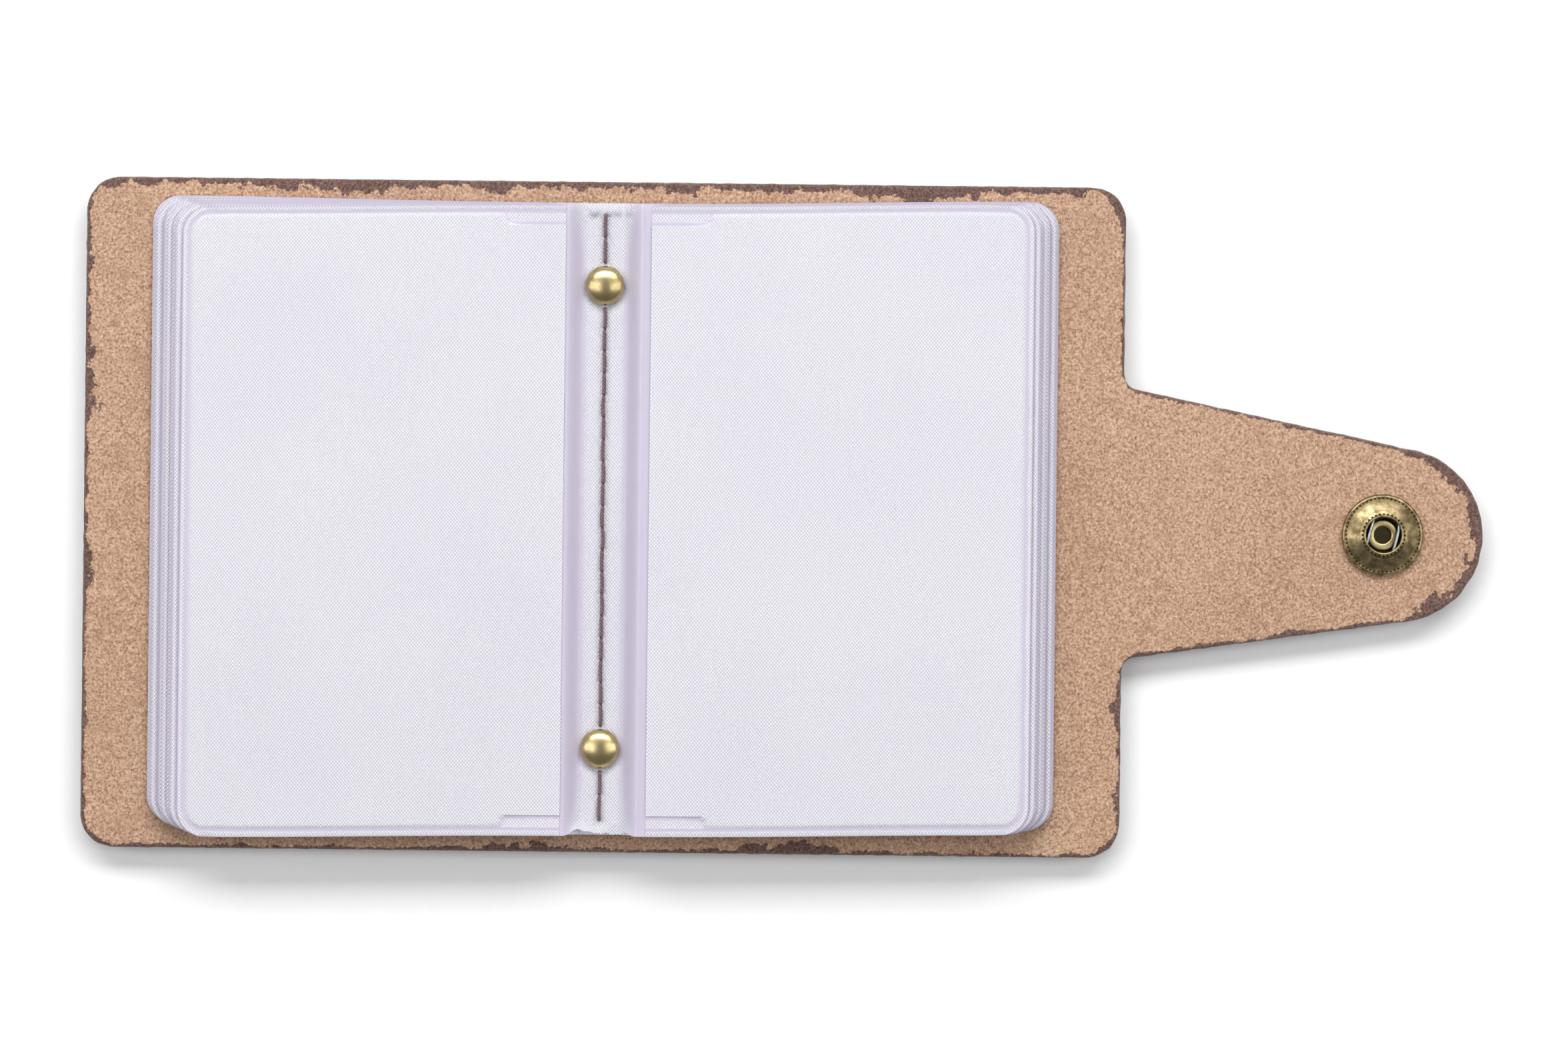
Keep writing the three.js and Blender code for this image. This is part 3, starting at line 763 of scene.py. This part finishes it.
def sheet_height(x, level):
    """Height of a film's underside. level is 0 for the lowest sheet and PAGES - 1 for the top one."""
    pad = pad_low.z + (pad_high.z - pad_low.z) * level / PAGES
    rise = ease((abs(x - MIDDLE) - PAD_HALF) / (PAGE_INNER - PAD_HALF))
    return pad + (page_heights[level] - pad) * rise


FRILL_HALF = PAGE_INNER - 0.5 * MM  # the ends are frilled this far from the stitch line
FRILL_LENGTH = 1.8 * MM


def films(name, xs, levels):
    bm = bmesh.new()
    for level in levels:
        part = grid(xs, sheet_ys if level == PAGES - 1 else sheet_ys[:: len(sheet_ys) - 1])
        bmesh.ops.solidify(part, geom=part.faces[:], thickness=FILM)
        upper = max(v.co.z for v in part.verts) - FILM / 2
        smooth = part.verts.layers.float.new("smooth")
        rest = part.verts.layers.float_vector.new("rest")
        for v in part.verts:
            z = sheet_height(v.co.x, level) + (FILM if v.co.z > upper else 0)
            if level == PAGES - 1:
                z -= pucker(v.co.x, v.co.y) * (0.5 if v.co.z < upper else 1)
                z += 0.12 * MM * max(0, noise.noise(Vector((v.co.x / 6, v.co.y, 5 * MM)) / (5 * MM)))
            from_end = PAGE_HALF - abs(v.co.y)
            woven_half = (2.0 + 1.6 * ease(1 - from_end / (9 * MM))) * MM
            v[rest] = (v.co.x, v.co.y, 0)
            # Beyond the woven strip the film is painted in the darker lavender, as shade where it slopes
            # up to the pages, and its weave is damped.
            v[smooth] = SMOOTH_AND_SHADE * ease((abs(v.co.x - MIDDLE) - woven_half) / (1.8 * MM))
            frill = ease((FRILL_LENGTH - from_end) / FRILL_LENGTH) if level == PAGES - 1 else 0
            frill *= ease((FRILL_HALF - abs(v.co.x - MIDDLE)) / (1.5 * MM))
            wave = noise.noise(Vector((v.co.x, 3 * MM, v.co.y / 9)) / (1.3 * MM))
            outward = 1 if v.co.y > 0 else -1
            v.co.y += sheet_slip(level) - outward * frill * (0.5 + 0.8 * wave) * MM
            v.co.z = z + frill * (0.2 + 0.9 * wave) * MM
        add_part(bm, part)
    piece = finish(bm, name, FILM_PVC, sharp=50)
    return piece


pad_xs = spaced(MIDDLE - PAD_HALF, MIDDLE + PAD_HALF, 0.3 * MM)
pad_films = films("sewn_films", pad_xs, range(PAGES))
settle(pad_films, "spine", "clear_film", "sewn_middle")
for side, sign in (("left", -1), ("right", 1)):
    slope_xs = spaced(MIDDLE + sign * PAD_HALF, MIDDLE + sign * PAGE_INNER, 0.3 * MM)
    lower = films(f"{side}_slope_films", slope_xs, range(PAGES - 1))
    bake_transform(lower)
    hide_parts(f"{side}_web")
    upper = films(f"{side}_top_slope_film", slope_xs, [PAGES - 1])
    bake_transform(upper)

# %% [markdown]
# ## Lockstitch
# A saddler's machine makes each stitch from two threads, which cross inside the hole. Above the pad
# the needle thread lies from hole to hole, and below it the bobbin thread does. Each stitch is three
# plies that wind about one route, so the twist is real and catches the light.

# %% Thread
PLIES = 3
PLY_R = 0.15 * MM
TWIST = 1.5 * MM  # length of one turn


def stitch_route(start, end, z, outward, sway, count=26):
    """From one hole to the next: up out of the film, along it, and down again."""
    points = []
    for i in range(count + 1):
        t = i / count
        lift = ease(min(t, 1 - t) / 0.12)
        bow = sway * math.sin(math.pi * t)
        height = z + outward * (lift * 0.8 - 0.66) * MM
        points.append(Vector((MIDDLE + bow, start + (end - start) * t, height)))
    return points


def ply_tube(curve, route, phase):
    spline = curve.splines.new("POLY")
    spline.points.add(len(route) - 1)
    travelled = 0
    for i, point in enumerate(route):
        travelled += (point - route[i - 1]).length if i else 0
        turn = math.tau * travelled / TWIST + phase
        offset = Vector((math.cos(turn), 0, math.sin(turn))) * PLY_R * 1.1
        spline.points[i].co = (*(point + offset), 1)


def thread(name, z, outward):
    curve = tube_curve(name, PLY_R, 2)
    for run in HOLES:
        for start, end in zip(run, run[1:]):
            route = stitch_route(start, end, z, outward, rng.uniform(-0.12, 0.12) * MM)
            for ply in range(PLIES):
                ply_tube(curve, route, math.tau * ply / PLIES)
    return finish(tube_mesh(curve), name, THREAD, sharp=60)


for name, z, outward in (("needle", pad_high.z, 1), ("bobbin", pad_low.z, -1)):
    nodes = [f"{name}_thread_{run}" for run in ("upper", "middle", "lower")]
    settle(thread(f"{name}_thread", z, outward), "spine", "thread", *nodes)

# %% [markdown]
# ## Rivets
# Each double-cap rivet is two pressed domes with a rolled rim. The upper cap is pushed over the post
# of the lower one and hammered tight. A lathe gives both, with a finer curve than the CAD caps.

# %% Rivets
RIVET_RIM = 0.35 * MM  # thickness of a cap's rolled rim


def dome_profile(radius, height, rim, flat=0.0):
    """A pressed dome, from its crown to the underside of its rolled rim."""
    crown = []
    for i in range(15):
        a = math.radians(90 * i / 14)
        r = radius * math.sin(a) ** 0.94
        crown.append((r, rim + (height - rim) * math.cos(a) ** (1 + flat)))
    rolled = arc(radius - rim / 2, rim / 2, rim / 2, 20, -90, 5)
    return [(0, height)] + crown[1:] + rolled + [(radius * 0.5, 0)]


def mark_hollow(bm, centre, radius, low, high):
    """Marks the vertices in a round hollow between two heights, where the dark finish stays and where the
    hollow's shade is painted near-black.
    """
    layer = bm.verts.layers.float.new("patina_and_shade")
    for v in bm.verts:
        offset = v.co - centre
        hollow = math.hypot(offset.x, offset.y) < radius and low < offset.z < high
        v[layer] = 1.0 if hollow else 0.0
    return layer


for where in ("upper", "lower"):
    low, high = box(f"{where}_rivet_cap")
    centre = Vector(((low.x + high.x) / 2, (low.y + high.y) / 2, low.z - 0.1 * MM))
    upper_dome = lathe(dome_profile(RIVET_R, high.z - centre.z, RIVET_RIM), centre)
    cap = finish(upper_dome, f"{where}_rivet_dome", BUFFED_BRASS)
    settle(cap, "spine", "polished_brass", f"{where}_rivet_cap")
    post_low, post_high = box(f"{where}_rivet_post")
    under = Vector((centre.x, centre.y, GRAIN_Z))
    outside = [(r, -z) for r, z in dome_profile(RIVET_R, GRAIN_Z - post_low.z, RIVET_RIM)]
    bm = lathe(outside, under)
    post = [(0, 0), (1.2 * MM, 0), (1.2 * MM, pad_high.z - GRAIN_Z), (0, pad_high.z - GRAIN_Z)]
    lathe(post, under, bm=bm)
    foot = finish(bm, f"{where}_rivet_foot", BUFFED_BRASS)
    settle(foot, "spine", "polished_brass", f"{where}_rivet_post")

# %% [markdown]
# ## Spring snap
# The socket is a pressed ring with a rolled rim. Its face rises to a lip round the hole, and two
# rings of punched pips decorate it. Inside, a spring wire crosses the hole on both sides of the
# curled post that holds the socket and its cap together through the strap.

# %% Socket
SOCKET_R = (snap_high.x - snap_low.x) / 2
SOCKET_H = snap_high.z - FLESH_Z
LIP_R = 2.7 * MM


def face_height(r):
    """Height of the socket's sloping face at a radius."""
    t = (SOCKET_R - 0.45 * MM - r) / (SOCKET_R - 0.45 * MM - LIP_R - 0.3 * MM)
    return 0.85 * MM + (SOCKET_H - 1.1 * MM) * min(max(t, 0), 1) ** 0.85


face = [(r, face_height(r)) for r in spaced(SOCKET_R - 0.45 * MM, LIP_R + 0.35 * MM, 0.2 * MM)]
socket_profile = (
    [(1.9 * MM, 0.05 * MM), (SOCKET_R - 0.5 * MM, 0.05 * MM)]
    + arc(SOCKET_R - 0.45 * MM, 0.5 * MM, 0.45 * MM, -70, 115, 12)
    + face
    + arc(LIP_R + 0.2 * MM, SOCKET_H - 0.2 * MM, 0.2 * MM, 60, 180, 8)
    + [(LIP_R, 2.2 * MM), (SOCKET_R * 0.6, 2.1 * MM), (SOCKET_R * 0.6, 1.6 * MM), (LIP_R, 1.5 * MM)]
    + [(LIP_R, 0.45 * MM), (1.9 * MM, 0.4 * MM), (1.9 * MM, 0.05 * MM)]
)
bm = lathe(socket_profile, SNAP, steps=96)
# The socket's hole inside the lip is marked near-black: its dark finish, and painted shade in the hole.
patina_and_shade = mark_hollow(bm, SNAP, LIP_R + 0.1 * MM, 0, 2.3 * MM)
# The pips are raised beads marked near-black, standing for punched dimples: their dark finish, and their
# painted shade.
for ring_r, count in ((5.6 * MM, 56), (3.2 * MM, 32)):
    for i in range(count):
        turn = math.tau * i / count
        height = face_height(ring_r) - 0.1 * MM
        place = SNAP + Vector((ring_r * math.cos(turn), ring_r * math.sin(turn), height))
        pip = bmesh.ops.create_icosphere(bm, subdivisions=2, radius=0.19 * MM)
        bmesh.ops.translate(bm, verts=pip["verts"], vec=place)
        for v in pip["verts"]:
            v[patina_and_shade] = 1.0
socket = finish(bm, "snap_socket_ring", DARK_BRASS, sharp=55)
settle(socket, "strap_end", "antique_brass", "snap_socket")

# %% Cap, post and spring
cap_profile = [(r, -z) for r, z in dome_profile(SOCKET_R, 2.25 * MM, 0.5 * MM)]
bm = lathe(cap_profile, Vector((SNAP.x, SNAP.y, GRAIN_Z)), steps=96)
curl_top = 0.9 * MM
post = (
    [(1.85 * MM, -HIDE), (1.85 * MM, 0.45 * MM)]
    + arc(2.15 * MM, 0.62 * MM, 0.3 * MM, -70, 90, 6)
    + arc(1.55 * MM, curl_top - 0.3 * MM, 0.3 * MM, 90, 180, 5)
    + [(1.25 * MM, 0.3 * MM), (0, 0.3 * MM)]
)
lathe(post, SNAP, steps=64, bm=bm)
# The floor of the post's bore is marked near-black: the dark finish, and painted shade in the bore.
mark_hollow(bm, SNAP, 1.3 * MM, 0.1 * MM, 0.5 * MM)
snap_cap = finish(bm, "snap_cap_and_post", BUFFED_BRASS)
settle(snap_cap, "strap_end", "polished_brass", "snap_cap")

spring_low, spring_high = box("snap_spring")
SPRING_Z = (spring_low.z + spring_high.z) / 2
SPRING_TURN = -0.26  # radians, as the CAD wire is turned
curve = tube_curve("snap_spring_wire", 0.25 * MM, 4)
spline = curve.splines.new("NURBS")
bend = [math.radians(a) for a in range(128, 51, -11)]
route = [(-2.1, -2.65), (-2.15, -1.2), (-2.1, 0.2), (-2.1, 1.6)]
route += [(3.4 * math.cos(a), 3.4 * math.sin(a)) for a in bend]
route += [(2.1, 1.6), (2.1, 0.2), (2.15, -1.2), (2.1, -2.65)]
spline.points.add(len(route) - 1)
spline.use_endpoint_u = True
for point, (x, y) in zip(spline.points, route):
    turned = Vector((x, y)) * MM
    turned.rotate(Matrix.Rotation(SPRING_TURN, 2))
    point.co = (SNAP.x + turned.x, SNAP.y + turned.y, SPRING_Z, 1)
spring = finish(tube_mesh(curve), "snap_spring_wire", SPRING_STEEL)
settle(spring, "strap_end", "spring_wire", "snap_spring")

# %% [markdown]
# ## Stud
# The stud on the outside of the front cover is the snap's other half. It is a flange with a neck
# and a bulbous head, held by an eyelet whose flange shows as a plain disc inside the cover.

# %% Stud and eyelet
stud_low, stud_high = box("snap_stud")
STUD = Vector(((stud_low.x + stud_high.x) / 2, (stud_low.y + stud_high.y) / 2, GRAIN_Z))
STUD_R = (stud_high.x - stud_low.x) / 2
reach = GRAIN_Z - stud_low.z
stud_profile = (
    [(0, -0.05 * MM), (STUD_R - 0.3 * MM, -0.05 * MM)]
    + arc(STUD_R - 0.35 * MM, -0.4 * MM, 0.35 * MM, 60, -90, 7)
    + [(3.2 * MM, -0.75 * MM), (1.65 * MM, -0.8 * MM), (1.5 * MM, -1.0 * MM), (1.45 * MM, -1.8 * MM)]
    + arc(2.1 * MM, -reach + 0.28 * MM, 0.28 * MM, 60, -90, 8)
    + [(0.9 * MM, -reach), (0.75 * MM, -reach + 0.2 * MM), (0.7 * MM, -0.4 * MM), (0, -0.4 * MM)]
)
stud = finish(lathe(stud_profile, STUD), "snap_stud_body", DARK_BRASS)
settle(stud, "front_cover", "antique_brass", "snap_stud")
eyelet_low, eyelet_high = box("stud_eyelet")
EYELET_R = (eyelet_high.x - eyelet_low.x) / 2
thick = eyelet_high.z - FLESH_Z
eyelet_profile = (
    [(0, -0.2 * MM), (EYELET_R - 0.2 * MM, -0.2 * MM)]
    + arc(EYELET_R - 0.2 * MM, thick - 0.2 * MM, 0.2 * MM, 0, 90, 5)
    + [(1.6 * MM, thick), (1.3 * MM, thick - 0.12 * MM), (0, thick - 0.16 * MM)]
)
eyelet = finish(lathe(eyelet_profile, Vector((STUD.x, STUD.y, FLESH_Z))), "stud_eyelet_disc", DARK_BRASS)
settle(eyelet, "front_cover", "antique_brass", "stud_eyelet")

# %% [markdown]
# ## Stage, light and camera
# The case lies on pale paper, which glows a little further out, so that it stays white where the
# lamps don't reach. Two tall soft boxes stand left and right, and a wide, stronger one stands beyond
# the top of the case. Its light falls towards the viewer and leaves a soft shadow below the cover.
# The camera looks straight down.

# %% Floor
bm = bmesh.new()
bmesh.ops.create_grid(bm, x_segments=1, y_segments=1, size=4)
paper, paper_tree = new_material("white_background_paper")
on_paper = add(paper_tree, "TexCoord").outputs["Object"]
fibres = noise_at(paper_tree, on_paper, 2 * MM, 3, 0.5)
outward = add(paper_tree, "VectorMath", {"Vector": on_paper}, operation="LENGTH").outputs["Value"]
surface(paper_tree, {
    "Base Color": mix(paper_tree, fibres, colour("#ededed"), colour("#f1f1f1")),
    "Roughness": 0.9,
    "Specular IOR Level": 0.1,
    "Emission Color": (1, 1, 1, 1),
    "Emission Strength": remap(paper_tree, outward, 0.3, 0.9, 0.03, 0.64),
})
floor = finish(bm, "paper_floor", paper)


# %% Lights
def soft_box(name, place, aim, size, watts):
    light = bpy.data.lights.new(name, "AREA")
    light.shape = "RECTANGLE"
    light.size, light.size_y = size
    light.energy = watts
    lamp = bpy.data.objects.new(name, light)
    bpy.context.scene.collection.objects.link(lamp)
    lamp.location = place
    lamp.rotation_euler = (Vector(aim) - Vector(place)).to_track_quat("-Z", "Y").to_euler()


soft_box("left_soft_box", (-0.6, 0.05, 0.75), (0, 0, 0), (0.45, 0.9), 2.8)
soft_box("right_soft_box", (0.6, 0.05, 0.75), (0, 0, 0), (0.45, 0.9), 2.8)
soft_box("far_soft_box", (0.0, 0.8, 0.85), (0, 0, 0), (1.6, 0.4), 15.5)
world = bpy.data.worlds.new("studio_air")
world.use_nodes = True
air = world.node_tree
upward = add(air, "SeparateXYZ", {"Vector": add(air, "TexCoord").outputs["Generated"]}).outputs["Z"]
air.links.new(remap(air, upward, 0.18, 0.4, 0.92, 0.2), air.nodes["Background"].inputs["Strength"])
air.nodes["Background"].inputs["Color"].default_value = (1, 1, 1, 1)
bpy.context.scene.world = world
bpy.context.scene.view_settings.view_transform = "Standard"

# %% Camera
VIEW_WIDTH = 238.3 * MM  # seen at the height of the top pages
VIEW_X, VIEW_Y = 27.67 * MM, -0.5 * MM  # middle of the view, from the stitch line's middle
VIEW_TURN = math.radians(0.65)
camera_data = bpy.data.cameras.new("overhead_camera")
camera_data.lens = 135
camera_data.sensor_width = 36
camera = bpy.data.objects.new("overhead_camera", camera_data)
bpy.context.scene.collection.objects.link(camera)
distance = VIEW_WIDTH * camera_data.lens / camera_data.sensor_width
page_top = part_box("left_page_01")[1][2]
camera.location = (MIDDLE + VIEW_X, VIEW_Y, page_top + distance)
camera.rotation_euler = (0, 0, VIEW_TURN)
bpy.context.scene.camera = camera
